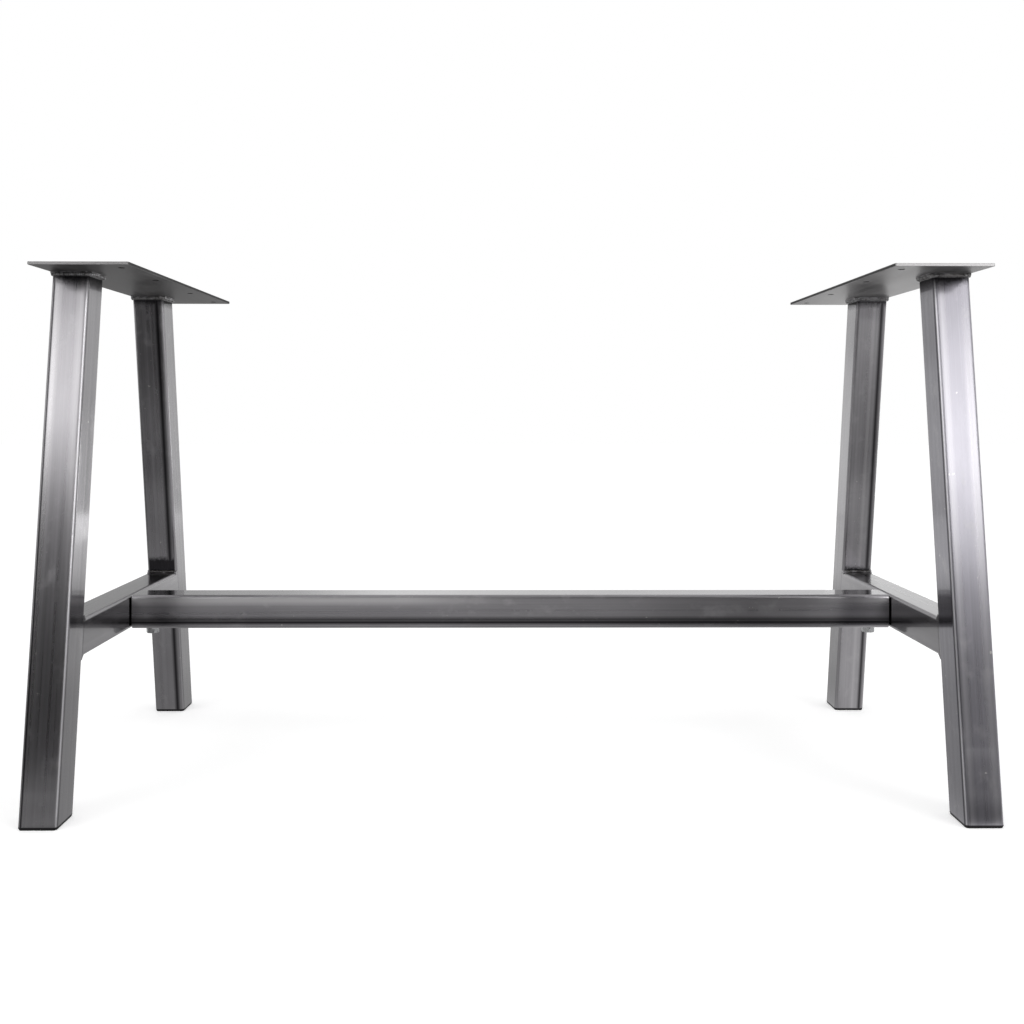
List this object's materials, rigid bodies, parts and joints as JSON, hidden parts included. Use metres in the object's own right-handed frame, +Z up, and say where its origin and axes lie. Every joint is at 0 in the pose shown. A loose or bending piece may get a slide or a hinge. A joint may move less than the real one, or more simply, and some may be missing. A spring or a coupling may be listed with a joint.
{
  "type": "table base",
  "caption": "Bare steel table base: two A-shaped square-tube end frames under screwed top plates, joined by a bolted stretcher beam.",
  "frame": {"origin": "on the floor, midway between the four feet", "axes": "+X along the stretcher beam, +Y from front to rear, +Z up to the top plates"},
  "size_m": [1.25, 0.555, 0.72],
  "materials": {
    "steel_tube": "raw rolled steel under clear lacquer",
    "steel_plate": "raw flat bar under clear lacquer",
    "weld_metal": "rippled weld bead, heat-tinted",
    "zinc_fastener": "bright zinc plated",
    "foot_plastic": "black moulded plastic"
  },
  "bodies": {
    "root": {"left_beam_screw": "zinc_fastener", "left_beam_spigot": "steel_tube", "left_cross_bar": "steel_tube", "left_front_bar_weld": "weld_metal", "left_front_foot_plug": "foot_plastic", "left_front_head_weld": "weld_metal", "left_front_leg": "steel_tube", "left_rear_bar_weld": "weld_metal", "left_rear_foot_plug": "foot_plastic", "left_rear_head_weld": "weld_metal", "left_rear_leg": "steel_tube", "left_spigot_weld": "weld_metal", "left_spring_washer": "zinc_fastener", "left_top_plate": "steel_plate", "left_washer": "zinc_fastener", "left_weld_nut": "zinc_fastener", "right_beam_screw": "zinc_fastener", "right_beam_spigot": "steel_tube", "right_cross_bar": "steel_tube", "right_front_bar_weld": "weld_metal", "right_front_foot_plug": "foot_plastic", "right_front_head_weld": "weld_metal", "right_front_leg": "steel_tube", "right_rear_bar_weld": "weld_metal", "right_rear_foot_plug": "foot_plastic", "right_rear_head_weld": "weld_metal", "right_rear_leg": "steel_tube", "right_spigot_weld": "weld_metal", "right_spring_washer": "zinc_fastener", "right_top_plate": "steel_plate", "right_washer": "zinc_fastener", "right_weld_nut": "zinc_fastener", "stretcher_beam": "steel_tube"}
  },
  "joints": []
}
